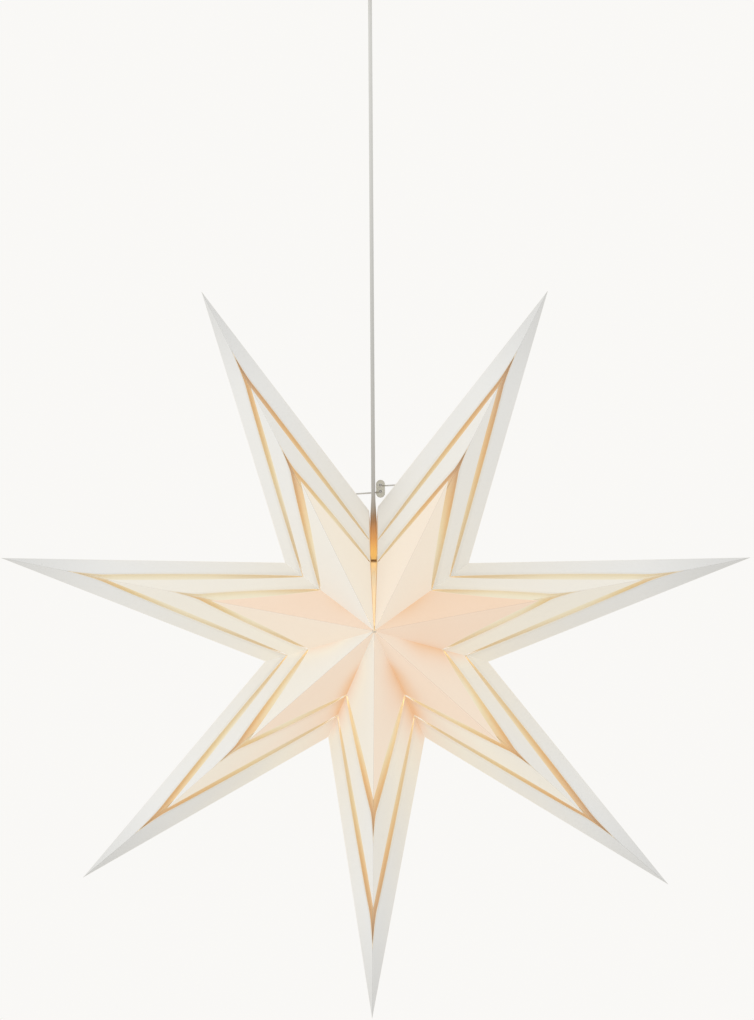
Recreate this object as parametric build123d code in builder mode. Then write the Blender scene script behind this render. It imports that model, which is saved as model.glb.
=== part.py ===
"""Seven-pointed folded paper star lantern on a flat cord, with its lamp holder, LED lamp and ceiling fitting.

Millimetres. The origin is the middle of the ceiling plate's top face, +Z is up and the star faces -Y.
"""

import os
from math import asin, cos, degrees, hypot, radians, sin

from build123d import *

os.makedirs("parts", exist_ok=True)

# Paper star
POINT_REACH = 300.0  # hub axis to a point's tip
NOTCH_RADIUS = 90.0  # hub axis to the notch between two points
HUB_DEPTH = 75.0  # middle plane to the front or back centre
TOP_POINT_ANGLE = 26.95  # straight up to the first point, degrees
UPPER_STEP = 52.0  # first point to second, degrees
SIDE_STEP = 51.5  # second point to third, degrees
STAR_LEAN = 0.5  # the points turned on the cord, degrees
SEAM_GAP = 5.6  # between the two free flanks, at the notch
PAPER = 0.4
TAB_WIDTH = 16.0  # glue tab along each valley
GLUE_LINE = 0.06  # between two glued tabs

# Windows cut in the points and the lining behind them
INNER_WINDOW_RIDGE = 129.0  # hub axis to the near end of the window on the ridge
INNER_WINDOW_OPENING = 34.0  # length of the opening along the ridge
INNER_WINDOW_VALLEY = 54.0  # hub axis to the middle of the window's end at the valley
OUTER_WINDOW_RIDGE = 213.0
OUTER_WINDOW_OPENING = 32.0
OUTER_WINDOW_VALLEY = 71.5
WINDOW_SLIT = 17.0  # narrow far end of an opening, along the ridge
WINDOW_SLIT_WIDTH = 2.6  # across the ridge, where the slit leaves the V
WINDOW_FOOT = 4.0  # width of a window's end along the valley
WINDOW_BRIDGE = 1.6  # paper left between a window's end and the valley
LINING = 0.2
LINING_GLUE = 0.05
LINING_LAP = 7.0  # past the windows at the valley
LINING_RIDGE_LAP = 14.0  # past the windows along the ridge
LINING_MARGIN = 1.2  # clear of the valley

# Flat twin cord
CORD_WIDTH = 4.9
CORD_THICKNESS = 3.1
CORD_DROP = 512.0  # mouth of the ceiling cup to the star's centre
CORE_SPACING = 2.4
WIRE_RADIUS = 0.7
CORD_FIT = 0.1

# Lamp holder
HOLDER_RADIUS = 14.5
HOLDER_WALL = 1.8
CAP_NECK_RADIUS = 6.5
CAP_DEPTH = 24.0
SKIRT_RADIUS = 13.4
SKIRT_LENGTH = 28.0  # below the cap
SKIRT_THREAD_LENGTH = 8.0  # up inside the cap
THREAD_FIT = 0.1
SEAT_GAP = 0.3  # between the cap's cone and the paper that hangs on it
NIPPLE_RADIUS = 4.2
NIPPLE_FLANGE_RADIUS = 5.8
NIPPLE_FLANGE = 1.6
INSERT_THICKNESS = 12.0
INSERT_FIT = 0.15
LEDGE_THICKNESS = 1.5  # under the insert
CONTACT_SHELL_BORE = 7.25
CONTACT_SHEET = 0.4
CONTACT_SHELL_LENGTH = 20.0
CONTACT_FLANGE_BORE = 4.0
CENTRE_CONTACT_RADIUS = 3.0
CENTRE_CONTACT_HEIGHT = 2.4
CONTACT_TAPER = 15.0  # degrees
TERMINAL_SCREW_RADIUS = 1.5
TERMINAL_HEAD_RADIUS = 2.4
TERMINAL_HEAD_THICKNESS = 1.5
TERMINAL_SCREW_LENGTH = 6.0
TERMINAL_RADIUS = 6.6  # lamp axis to a terminal screw

# LED lamp with a small screw cap
LAMP_SHELL_RADIUS = 6.5
LAMP_THREAD_HEIGHT = 0.35
LAMP_THREAD_PITCH = 2.82
LAMP_SHELL_LENGTH = 17.0
LAMP_SHEET = 0.5
LAMP_INSULATOR_HEIGHT = 2.6
LAMP_TIP_RADIUS = 2.4
LAMP_TIP_HEIGHT = 1.2
CONTACT_GAP = 0.1
COLLAR_LENGTH = 14.0
COLLAR_RADIUS = 14.0
COLLAR_WALL = 1.5
SPIGOT_LENGTH = 3.0  # up inside the screw shell
GLOBE_RADIUS = 22.5
GLOBE_WALL = 1.0
GLOBE_NECK_RADIUS = 13.0
LED_BOARD_RADIUS = 11.0
LED_BOARD_THICKNESS = 1.2
LED_COUNT = 8
LED_CIRCLE = 7.5
LED_SIZE = 2.8
LED_HEIGHT = 0.8
DRIVER_WIDTH = 8.0
DRIVER_THICKNESS = 1.2
DRIVER_LENGTH = 22.0

# Closing strings and their stopper
STRING_RADIUS = 0.6
STRING_HOLE_RADIUS = 1.2
KNOT_RADIUS = 1.5
STRING_BACK = 6.5  # middle plane to the strings, behind the cord
STRING_ABOVE_NOTCH = 22.5  # notch between two points to the middle of the stopper
STRING_SPACING = 5.0  # between the two strings
STRING_BEND = 2.0
STRING_END = 4.5  # middle plane to the free ends in front
STOPPER_SIDE = 5.7  # cord's axis to the stopper's middle
STOPPER_WIDTH = 7.0
STOPPER_HEIGHT = 14.0
STOPPER_THICKNESS = 3.2
STOPPER_FIT = 0.3

# Ceiling plate, hook and hanger eye
PLATE_RADIUS = 33.0
PLATE_THICKNESS = 6.0
PLATE_HOLE_SPACING = 44.0
PLATE_HOLE_RADIUS = 2.25
HOOK_WIRE_RADIUS = 2.0
HOOK_FIT = 0.05
HOOK_HEAD_RADIUS = 4.5
HOOK_HEAD_THICKNESS = 1.8
HOOK_HEAD_ROOM = 0.1
HOOK_NECK = 11.0  # ceiling to the bend below the shank
HOOK_DROP = 27.0  # ceiling to the middle of the wire at the bowl
HOOK_HALF_WIDTH = 8.5
HOOK_BOWL_BEND = 8.4
HOOK_NECK_BEND = 3.5
HOOK_LIP = 9.0  # bowl to the open end
EYE_BORE_RADIUS = 4.5
EYE_BAR = 3.2
EYE_CLEARANCE = 0.3
HANGER_WIDTH = 12.0
HANGER_DEPTH = 10.0
HANGER_HEIGHT = 16.0
HANGER_CORNER = 1.2
SHEATH_END = 7.0  # hanger's top to the cord's cut end
WIRE_RISE = 2.6  # cut end of the cord to the wires' level run
WIRE_BEND = 1.6
WIRE_HOLE_RADIUS = 0.9
CLAMP_SCREW_RADIUS = 1.5
CLAMP_SCREW_RISE = 4.0  # hanger's foot to the clamp screw
SCREW_FIT = 0.05

# Terminal block on the hanger's side
BLOCK_LENGTH = 11.0
BLOCK_DEPTH = 9.0
BLOCK_HEIGHT = 12.0
WIRE_ENTRY = 5.0  # depth of a wire in the block
BLOCK_SCREW_RADIUS = 1.3
BLOCK_SCREW_INSET = 2.5  # block's end to a screw
MAINS_HOLE_DEPTH = 4.0

# Ceiling cup
CUP_HEIGHT = 58.0
CUP_RADIUS = 37.0
CUP_FOOT_RADIUS = 26.0
CUP_WALL = 2.0
CUP_CORNER = 9.0
CUP_MOUTH_RADIUS = 7.0
CUP_CEILING_GAP = 0.4
CUP_SCREW_RADIUS = 1.5
CUP_SCREW_DEPTH = 5.0  # into the plate's edge
CUP_SCREW_HEAD_RADIUS = 2.4
CUP_SCREW_HEAD = 1.6

STAR_Z = -(CUP_HEIGHT + CORD_DROP)
STAR_PLANE = Plane(origin=(0, 0, STAR_Z), x_dir=(1, 0, 0), z_dir=(0, -1, 0))

# Directions of the points' tips and of the notches between them, clockwise from straight up
right_tips = [TOP_POINT_ANGLE, TOP_POINT_ANGLE + UPPER_STEP, TOP_POINT_ANGLE + UPPER_STEP + SIDE_STEP]
level_tips = right_tips + [180.0] + [360.0 - angle for angle in reversed(right_tips)]
tip_angles = [angle + STAR_LEAN for angle in level_tips]
seam_angle = degrees(asin(SEAM_GAP / 2 / NOTCH_RADIUS))
between_tips = [(a + b) / 2 for a, b in zip(tip_angles, tip_angles[1:])]
notch_angles = [seam_angle] + between_tips + [360.0 - seam_angle]

# A tab's inner edge, measured along the hub axis and out from it
valley_length = hypot(HUB_DEPTH, NOTCH_RADIUS)
opening_depth = HUB_DEPTH - TAB_WIDTH * valley_length / NOTCH_RADIUS
opening_reach = NOTCH_RADIUS - TAB_WIDTH * valley_length / HUB_DEPTH
tab_slope = opening_depth / opening_reach


def flat(angle, radius):
    """A place on the star's middle plane, from the star's centre."""
    return Vector(radius * sin(radians(angle)), radius * cos(radians(angle)))


def corner(angle, radius, depth=0.0):
    """The same place in the part's frame, depth behind the middle plane."""
    place = flat(angle, radius)
    return Vector(place.X, depth, STAR_Z + place.Y)


def face_plane(a, b, c, inside):
    """The plane through three corners that faces away from a place inside the spike."""
    normal = (b - a).cross(c - a)
    if normal.dot(inside - a) > 0:
        normal = normal * -1
    return Plane(origin=a, z_dir=normal)


def spike_planes(tip_angle, start, end):
    """The four sloping faces of a point, and the two flanks that its neighbours share."""
    tip = corner(tip_angle, POINT_REACH)
    first, second = corner(start, NOTCH_RADIUS), corner(end, NOTCH_RADIUS)
    front, back = corner(0, 0, -HUB_DEPTH), corner(0, 0, HUB_DEPTH)
    inside = (tip + first + second) * (1 / 3)
    faces = [face_plane(tip, apex, notch, inside) for apex in (front, back) for notch in (first, second)]
    flanks = [face_plane(front, back, notch, inside) for notch in (first, second)]
    return faces, flanks


def spike(faces, flanks, face_inset, flank_inset):
    """The solid between a point's faces and flanks, each moved inwards."""
    with BuildPart() as body:
        with Locations((0, 0, STAR_Z)):
            Box(3 * POINT_REACH, 3 * HUB_DEPTH, 3 * POINT_REACH)
        for plane in faces:
            split(bisect_by=plane.offset(-face_inset), keep=Keep.BOTTOM)
        for plane in flanks:
            split(bisect_by=plane.offset(-flank_inset), keep=Keep.BOTTOM)
    return body.part


def valley_place(tip_angle, notch_angle, radius, margin):
    """A place on a valley at a radius, moved off the valley towards the point's ridge."""
    turned = 90.0 if tip_angle > notch_angle else -90.0
    return flat(notch_angle, radius) + flat(notch_angle + turned, margin)


def window_outline(tip_angle, start, end, ridge, opening, valley):
    """A V that is open across the ridge, runs out in a slit along it and narrows towards each valley."""
    near, far = valley - WINDOW_FOOT / 2, valley + WINDOW_FOOT / 2
    slit_foot = flat(tip_angle, ridge + opening - WINDOW_SLIT)
    slit_side = flat(tip_angle - 90.0, WINDOW_SLIT_WIDTH / 2)
    return [
        flat(tip_angle, ridge + opening),
        slit_foot + slit_side,
        valley_place(tip_angle, start, far, WINDOW_BRIDGE),
        valley_place(tip_angle, start, near, WINDOW_BRIDGE),
        flat(tip_angle, ridge),
        valley_place(tip_angle, end, near, WINDOW_BRIDGE),
        valley_place(tip_angle, end, far, WINDOW_BRIDGE),
        slit_foot - slit_side,
    ]


def lining_outline(tip_angle, start, end):
    """The V-shaped band that covers both windows."""
    near, far = INNER_WINDOW_VALLEY - LINING_LAP, OUTER_WINDOW_VALLEY + LINING_LAP
    return [
        flat(tip_angle, OUTER_WINDOW_RIDGE + OUTER_WINDOW_OPENING + LINING_RIDGE_LAP),
        valley_place(tip_angle, start, far, LINING_MARGIN),
        valley_place(tip_angle, start, near, LINING_MARGIN),
        flat(tip_angle, INNER_WINDOW_RIDGE - LINING_RIDGE_LAP),
        valley_place(tip_angle, end, near, LINING_MARGIN),
        valley_place(tip_angle, end, far, LINING_MARGIN),
    ]


def turn(*profile):
    """Revolves a closed profile of (radius, height) corners about the cord's axis."""
    with BuildSketch(Plane.XZ) as section:
        with BuildLine():
            Polyline(*profile, close=True)
        make_face()
    revolve(section.sketch, axis=Axis.Z)


def wire(*route):
    """One bare wire along a route, with its corners rounded."""
    with BuildPart() as core:
        with BuildLine() as path:
            FilletPolyline(*route, radius=WIRE_BEND)
        with BuildSketch(Plane(origin=route[0], z_dir=path.line % 0)):
            Circle(WIRE_RADIUS)
        sweep(path=path.line)
    return core.part


def sideways(x, y, z):
    """Two places, y in front of and y behind the cord's axis, where a cylinder lies along Y."""
    return [Location((x, side * y, z), (90, 0, 0)) for side in (-1, 1)]


# Opening through the tabs into the hub, a cone towards the front and one towards the back
with BuildPart() as hub_opening:
    with BuildSketch(Plane.XY.offset(STAR_Z)):
        with BuildLine():
            Polyline((0, -opening_depth), (opening_reach, 0), (0, opening_depth), close=True)
        make_face()
    revolve(axis=Axis((0, 0, STAR_Z), (0, 1, 0)))

# Strings across the seam: the left one goes through the stopper low, the right one high
string_rise = NOTCH_RADIUS + STRING_ABOVE_NOTCH
string_rises = {"left": string_rise - STRING_SPACING / 2, "right": string_rise + STRING_SPACING / 2}
string_sides = {"left": -1, "right": 1}
string_faces = {
    "right": spike_planes(tip_angles[0], notch_angles[0], notch_angles[1])[0][2],
    "left": spike_planes(tip_angles[-1], notch_angles[-2], notch_angles[-1])[0][3],
}
knot_inset = PAPER + LINING_GLUE + LINING + SEAT_GAP + KNOT_RADIUS
knot_places = {}
for side, face in string_faces.items():
    rise = STAR_Z + string_rises[side]
    normal, origin = face.z_dir, face.origin
    hole_x = origin.X - (normal.Y * (STRING_BACK - origin.Y) + normal.Z * (rise - origin.Z)) / normal.X
    knot_x = hole_x + string_sides[side] * knot_inset / abs(normal.X)
    knot_places[side] = Vector(knot_x, STRING_BACK, rise)

windows = [
    (INNER_WINDOW_RIDGE, INNER_WINDOW_OPENING, INNER_WINDOW_VALLEY),
    (OUTER_WINDOW_RIDGE, OUTER_WINDOW_OPENING, OUTER_WINDOW_VALLEY),
]
top_points = {1: "right", len(tip_angles): "left"}

# Paper points, each one folded sheet with glue tabs and two windows front and back, and their linings
for number, (tip_angle, start, end) in enumerate(zip(tip_angles, notch_angles, notch_angles[1:]), 1):
    faces, flanks = spike_planes(tip_angle, start, end)
    outside = spike(faces, flanks, 0.0, GLUE_LINE / 2)
    inside = spike(faces, flanks, PAPER, GLUE_LINE / 2 + PAPER)
    with BuildPart() as point:
        add(outside)
        add(inside, mode=Mode.SUBTRACT)
        add(hub_opening.part, mode=Mode.SUBTRACT)
        with BuildSketch(STAR_PLANE):
            for ridge, opening, valley in windows:
                Polygon(*window_outline(tip_angle, start, end, ridge, opening, valley), align=None)
        extrude(amount=HUB_DEPTH, both=True, mode=Mode.SUBTRACT)
        if number in top_points:
            with Locations(Location(knot_places[top_points[number]], (0, 90, 0))):
                Cylinder(STRING_HOLE_RADIUS, 2 * TAB_WIDTH, mode=Mode.SUBTRACT)
    point.part.label = f"point_{number}"
    export_step(point.part, f"parts/point_{number}.step")

    lining_top = spike(faces, flanks, PAPER + LINING_GLUE, 0.0)
    lining_bottom = spike(faces, flanks, PAPER + LINING_GLUE + LINING, -LINING)
    with BuildPart() as lining:
        add(lining_top)
        add(lining_bottom, mode=Mode.SUBTRACT)
        with BuildSketch(STAR_PLANE):
            Polygon(*lining_outline(tip_angle, start, end), align=None)
        extrude(amount=HUB_DEPTH, both=True, mode=Mode.INTERSECT)
        if number in top_points:
            with Locations(Location(knot_places[top_points[number]], (0, 90, 0))):
                Cylinder(STRING_HOLE_RADIUS, 2 * TAB_WIDTH, mode=Mode.SUBTRACT)
    lining.part.label = f"window_lining_{number}"
    export_step(lining.part, f"parts/window_lining_{number}.step")

# Closing strings, knotted inside the top points and in front of the stopper
for side, knot in knot_places.items():
    end = Vector(STOPPER_SIDE, -STRING_END, knot.Z)
    with BuildPart() as closing_string:
        with BuildLine() as route:
            FilletPolyline(end, (STOPPER_SIDE, STRING_BACK, knot.Z), knot, radius=STRING_BEND)
        with BuildSketch(Plane(origin=end, z_dir=route.line % 0)):
            Circle(STRING_RADIUS)
        sweep(path=route.line)
        with Locations(Location(knot, (0, 90, 0)), Location(end, (90, 0, 0))):
            Sphere(KNOT_RADIUS)
    closing_string.part.label = f"closing_string_{side}"
    export_step(closing_string.part, f"parts/closing_string_{side}.step")

# Stopper, a flat bead with a hole for each string
stopper_back = STRING_BACK - STRING_BEND - STOPPER_FIT
with BuildPart() as string_stopper:
    with BuildSketch(Plane.XZ.offset(-stopper_back)):
        with Locations((STOPPER_SIDE, STAR_Z + string_rise)):
            SlotOverall(STOPPER_HEIGHT, STOPPER_WIDTH, rotation=90)
            with GridLocations(0, STRING_SPACING, 1, 2):
                Circle(STRING_RADIUS + STOPPER_FIT, mode=Mode.SUBTRACT)
    extrude(amount=STOPPER_THICKNESS)
    rims = string_stopper.faces().filter_by(Axis.Y)
    fillet([edge for rim in rims for edge in rim.outer_wire().edges()], radius=STOPPER_THICKNESS / 4)
string_stopper.part.label = "string_stopper"
export_step(string_stopper.part, "parts/string_stopper.step")

# Heights down the lamp holder and the lamp, from the cap's top where the paper hangs on its cone
seat_drop = SEAT_GAP * hypot(1, tab_slope) / tab_slope
holder_top = STAR_Z + (opening_depth - CAP_NECK_RADIUS) / tab_slope - seat_drop
cap_bore = HOLDER_RADIUS - HOLDER_WALL
cap_foot = holder_top - CAP_DEPTH
cap_shoulder = holder_top - (HOLDER_RADIUS - CAP_NECK_RADIUS) / tab_slope
cone_wall = HOLDER_WALL * hypot(1, tab_slope) / tab_slope
cap_ceiling = holder_top - cone_wall
skirt_bore = cap_bore - THREAD_FIT - HOLDER_WALL
skirt_top = cap_foot + SKIRT_THREAD_LENGTH
skirt_foot = cap_foot - SKIRT_LENGTH
insert_top = skirt_top
insert_foot = insert_top - INSERT_THICKNESS
lamp_top = insert_foot - CENTRE_CONTACT_HEIGHT - CONTACT_GAP
insulator_top = lamp_top - LAMP_TIP_HEIGHT
lamp_shell_top = insulator_top - LAMP_INSULATOR_HEIGHT
collar_top = lamp_shell_top - LAMP_SHELL_LENGTH
collar_foot = collar_top - COLLAR_LENGTH
cord_foot = cap_ceiling - NIPPLE_FLANGE - WIRE_BEND

# Holder cap, with a cone on top that carries the star
with BuildPart() as holder_cap:
    turn(
        (NIPPLE_RADIUS + THREAD_FIT, holder_top),
        (CAP_NECK_RADIUS, holder_top),
        (HOLDER_RADIUS, cap_shoulder),
        (HOLDER_RADIUS, cap_foot),
        (cap_bore, cap_foot),
        (cap_bore, cap_ceiling - (cap_bore - CAP_NECK_RADIUS) / tab_slope),
        (CAP_NECK_RADIUS, cap_ceiling),
        (NIPPLE_RADIUS + THREAD_FIT, cap_ceiling),
    )
holder_cap.part.label = "holder_cap"
export_step(holder_cap.part, "parts/holder_cap.step")

# Cord nipple in the cap's top
with BuildPart() as cord_nipple:
    with BuildSketch(Plane.XY.offset(cap_ceiling)):
        Circle(NIPPLE_RADIUS)
    extrude(amount=holder_top - cap_ceiling)
    with BuildSketch(Plane.XY.offset(cap_ceiling)):
        Circle(NIPPLE_FLANGE_RADIUS)
    extrude(amount=-NIPPLE_FLANGE)
    with BuildSketch(Plane.XY.offset(holder_top)):
        SlotOverall(CORD_WIDTH + 2 * CORD_FIT, CORD_THICKNESS + 2 * CORD_FIT, rotation=90)
    extrude(amount=-(holder_top - cap_ceiling + NIPPLE_FLANGE), mode=Mode.SUBTRACT)
cord_nipple.part.label = "cord_nipple"
export_step(cord_nipple.part, "parts/cord_nipple.step")

# Holder skirt, screwed up into the cap, with a ledge that carries the insert
shell_outside = CONTACT_SHELL_BORE + CONTACT_SHEET
ledge_bore = shell_outside + INSERT_FIT
with BuildPart() as holder_skirt:
    turn(
        (cap_bore - THREAD_FIT, skirt_top),
        (cap_bore - THREAD_FIT, cap_foot - THREAD_FIT),
        (SKIRT_RADIUS, cap_foot - THREAD_FIT),
        (SKIRT_RADIUS, skirt_foot),
        (skirt_bore, skirt_foot),
        (skirt_bore, insert_foot - LEDGE_THICKNESS),
        (ledge_bore, insert_foot - LEDGE_THICKNESS),
        (ledge_bore, insert_foot),
        (skirt_bore, insert_foot),
        (skirt_bore, skirt_top),
    )
holder_skirt.part.label = "holder_skirt"
export_step(holder_skirt.part, "parts/holder_skirt.step")

# Insulating insert on the ledge, with a hole for each terminal screw
terminal_places = [(0, -TERMINAL_RADIUS), (0, TERMINAL_RADIUS)]
with BuildPart() as holder_insert:
    with BuildSketch(Plane.XY.offset(insert_foot)):
        Circle(skirt_bore - INSERT_FIT)
    extrude(amount=INSERT_THICKNESS)
    with BuildSketch(Plane.XY.offset(insert_top)):
        with Locations(*terminal_places):
            Circle(TERMINAL_SCREW_RADIUS + SCREW_FIT)
    extrude(amount=-TERMINAL_SCREW_LENGTH, mode=Mode.SUBTRACT)
holder_insert.part.label = "holder_insert"
export_step(holder_insert.part, "parts/holder_insert.step")

# Terminal screws, each with its head above the wire
screw_head_foot = insert_top + 2 * WIRE_RADIUS + CORD_FIT
with BuildPart() as holder_terminal_screws:
    with BuildSketch(Plane.XY.offset(screw_head_foot)):
        with Locations(*terminal_places):
            Circle(TERMINAL_SCREW_RADIUS)
    extrude(amount=-(screw_head_foot - insert_top + TERMINAL_SCREW_LENGTH))
    with BuildSketch(Plane.XY.offset(screw_head_foot)):
        with Locations(*terminal_places):
            Circle(TERMINAL_HEAD_RADIUS)
    extrude(amount=TERMINAL_HEAD_THICKNESS)
holder_terminal_screws.part.label = "holder_terminal_screws"
export_step(holder_terminal_screws.part, "parts/holder_terminal_screws.step")

# Wires from the cord's end to the terminal screws
wire_level = insert_top + WIRE_RADIUS + CORD_FIT / 2
wire_reach = TERMINAL_RADIUS - TERMINAL_SCREW_RADIUS - CORD_FIT
with BuildPart() as holder_wires:
    for side in (-1, 1):
        core = side * CORE_SPACING / 2
        add(wire((0, core, cord_foot), (0, core, wire_level), (0, side * wire_reach, wire_level)))
holder_wires.part.label = "holder_wires"
export_step(holder_wires.part, "parts/holder_wires.step")

# Screw contact, a flanged sleeve under the insert
with BuildPart() as screw_contact:
    turn(
        (CONTACT_FLANGE_BORE, insert_foot),
        (shell_outside, insert_foot),
        (shell_outside, insert_foot - CONTACT_SHELL_LENGTH),
        (CONTACT_SHELL_BORE, insert_foot - CONTACT_SHELL_LENGTH),
        (CONTACT_SHELL_BORE, insert_foot - CONTACT_SHEET),
        (CONTACT_FLANGE_BORE, insert_foot - CONTACT_SHEET),
    )
screw_contact.part.label = "screw_contact"
export_step(screw_contact.part, "parts/screw_contact.step")

# Centre contact
with BuildPart() as centre_contact:
    with BuildSketch(Plane.XY.offset(insert_foot)):
        Circle(CENTRE_CONTACT_RADIUS)
    extrude(amount=-CENTRE_CONTACT_HEIGHT, taper=CONTACT_TAPER)
centre_contact.part.label = "centre_contact"
export_step(centre_contact.part, "parts/centre_contact.step")

# Lamp: tip contact, insulator and screw shell
with BuildPart() as lamp_tip_contact:
    turn(
        (0, lamp_top),
        (LAMP_TIP_RADIUS - LAMP_TIP_HEIGHT / 2, lamp_top),
        (LAMP_TIP_RADIUS, lamp_top - LAMP_TIP_HEIGHT / 2),
        (LAMP_TIP_RADIUS, insulator_top),
        (0, insulator_top),
    )
lamp_tip_contact.part.label = "lamp_tip_contact"
export_step(lamp_tip_contact.part, "parts/lamp_tip_contact.step")

with BuildPart() as lamp_insulator:
    turn(
        (0, insulator_top),
        (LAMP_TIP_RADIUS + LAMP_SHEET, insulator_top),
        (LAMP_SHELL_RADIUS, lamp_shell_top),
        (0, lamp_shell_top),
    )
lamp_insulator.part.label = "lamp_insulator"
export_step(lamp_insulator.part, "parts/lamp_insulator.step")

lamp_shell_bore = LAMP_SHELL_RADIUS - LAMP_SHEET
ridge_width = LAMP_THREAD_PITCH / 4
thread_count = int(LAMP_SHELL_LENGTH / LAMP_THREAD_PITCH) - 1
thread_profile = []
for ridge in range(thread_count):
    top = lamp_shell_top - (ridge + 0.5) * LAMP_THREAD_PITCH
    thread_profile.append((LAMP_SHELL_RADIUS, top))
    thread_profile.append((LAMP_SHELL_RADIUS + LAMP_THREAD_HEIGHT, top - ridge_width))
    thread_profile.append((LAMP_SHELL_RADIUS + LAMP_THREAD_HEIGHT, top - 2 * ridge_width))
    thread_profile.append((LAMP_SHELL_RADIUS, top - 3 * ridge_width))
with BuildPart() as lamp_screw_shell:
    turn(
        (lamp_shell_bore, lamp_shell_top),
        (LAMP_SHELL_RADIUS, lamp_shell_top),
        *thread_profile,
        (LAMP_SHELL_RADIUS, collar_top),
        (lamp_shell_bore, collar_top),
    )
lamp_screw_shell.part.label = "lamp_screw_shell"
export_step(lamp_screw_shell.part, "parts/lamp_screw_shell.step")

# Lamp collar, with a spigot in the screw shell and a seat for the LED board
spigot_radius = lamp_shell_bore - THREAD_FIT
spigot_top = collar_top + SPIGOT_LENGTH
board_top = collar_foot + LED_BOARD_THICKNESS
with BuildPart() as lamp_collar:
    turn(
        (spigot_radius, spigot_top),
        (spigot_radius, collar_top),
        (LAMP_SHELL_RADIUS + LAMP_THREAD_HEIGHT, collar_top),
        (COLLAR_RADIUS, collar_foot),
        (LED_BOARD_RADIUS + THREAD_FIT, collar_foot),
        (LED_BOARD_RADIUS + THREAD_FIT, board_top),
        (LED_BOARD_RADIUS - COLLAR_WALL, board_top),
        (spigot_radius - COLLAR_WALL, collar_top),
        (spigot_radius - COLLAR_WALL, spigot_top),
    )
lamp_collar.part.label = "lamp_collar"
export_step(lamp_collar.part, "parts/lamp_collar.step")

# Driver board, upright inside the collar and the screw shell
with BuildPart() as lamp_driver_board:
    with BuildSketch(Plane.XY.offset(board_top)):
        Rectangle(DRIVER_WIDTH, DRIVER_THICKNESS)
    extrude(amount=DRIVER_LENGTH)
lamp_driver_board.part.label = "lamp_driver_board"
export_step(lamp_driver_board.part, "parts/lamp_driver_board.step")

# LED board and its LEDs, which face down into the globe
with BuildPart() as led_board:
    with BuildSketch(Plane.XY.offset(collar_foot)):
        Circle(LED_BOARD_RADIUS)
    extrude(amount=LED_BOARD_THICKNESS)
led_board.part.label = "led_board"
export_step(led_board.part, "parts/led_board.step")

with BuildPart() as led_chips:
    with BuildSketch(Plane.XY.offset(collar_foot)):
        with PolarLocations(LED_CIRCLE, LED_COUNT):
            Rectangle(LED_SIZE, LED_SIZE)
    extrude(amount=-LED_HEIGHT)
led_chips.part.label = "led_chips"
export_step(led_chips.part, "parts/led_chips.step")

# Globe, a thin ball whose neck stands on the collar
globe_drop = (GLOBE_RADIUS**2 - GLOBE_NECK_RADIUS**2) ** 0.5
globe_z = collar_foot - globe_drop
globe_foot = globe_z - GLOBE_RADIUS
globe_inside = GLOBE_RADIUS - GLOBE_WALL
neck_inside = (globe_inside**2 - globe_drop**2) ** 0.5
with BuildPart() as lamp_globe:
    with BuildSketch(Plane.XZ):
        with BuildLine():
            ThreePointArc((GLOBE_NECK_RADIUS, collar_foot), (GLOBE_RADIUS, globe_z), (0, globe_foot))
            Line((0, globe_foot), (0, globe_foot + GLOBE_WALL))
            ThreePointArc((0, globe_foot + GLOBE_WALL), (globe_inside, globe_z), (neck_inside, collar_foot))
            Line((neck_inside, collar_foot), (GLOBE_NECK_RADIUS, collar_foot))
        make_face()
    revolve(axis=Axis.Z)
lamp_globe.part.label = "lamp_globe"
export_step(lamp_globe.part, "parts/lamp_globe.step")

# Ceiling plate: two screw holes, a bore for the hook and a threaded hole for each cup screw
cup_screw_z = -PLATE_THICKNESS / 2
with BuildPart() as ceiling_plate:
    with BuildSketch():
        Circle(PLATE_RADIUS)
    extrude(amount=-PLATE_THICKNESS)
    with GridLocations(PLATE_HOLE_SPACING, 0, 2, 1):
        Hole(PLATE_HOLE_RADIUS)
    CounterBoreHole(
        radius=HOOK_WIRE_RADIUS + HOOK_FIT,
        counter_bore_radius=HOOK_HEAD_RADIUS + EYE_CLEARANCE,
        counter_bore_depth=HOOK_HEAD_ROOM + HOOK_HEAD_THICKNESS + HOOK_FIT,
    )
    with Locations(*sideways(0, PLATE_RADIUS - CUP_SCREW_DEPTH / 2, cup_screw_z)):
        Cylinder(CUP_SCREW_RADIUS + SCREW_FIT, CUP_SCREW_DEPTH, mode=Mode.SUBTRACT)
ceiling_plate.part.label = "ceiling_plate"
export_step(ceiling_plate.part, "parts/ceiling_plate.step")

# Hook, bent from one wire, with a head that turns in the plate
hook_route = [
    (0, 0, -HOOK_HEAD_ROOM),
    (0, 0, -HOOK_NECK),
    (HOOK_HALF_WIDTH, 0, -HOOK_NECK - HOOK_HALF_WIDTH / 2),
    (HOOK_HALF_WIDTH, 0, -HOOK_DROP),
    (-HOOK_HALF_WIDTH, 0, -HOOK_DROP),
    (-HOOK_HALF_WIDTH, 0, -HOOK_DROP + HOOK_LIP),
]
with BuildPart() as ceiling_hook:
    with BuildLine() as hook_line:
        FilletPolyline(*hook_route, radius=(HOOK_NECK_BEND, HOOK_NECK_BEND, HOOK_BOWL_BEND, HOOK_BOWL_BEND))
    with BuildSketch(Plane.XY.offset(-HOOK_HEAD_ROOM)):
        Circle(HOOK_WIRE_RADIUS)
    sweep(path=hook_line.line)
    with BuildSketch(Plane.XY.offset(-HOOK_HEAD_ROOM)):
        Circle(HOOK_HEAD_RADIUS)
    extrude(amount=-HOOK_HEAD_THICKNESS)
ceiling_hook.part.label = "ceiling_hook"
export_step(ceiling_hook.part, "parts/ceiling_hook.step")

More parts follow.
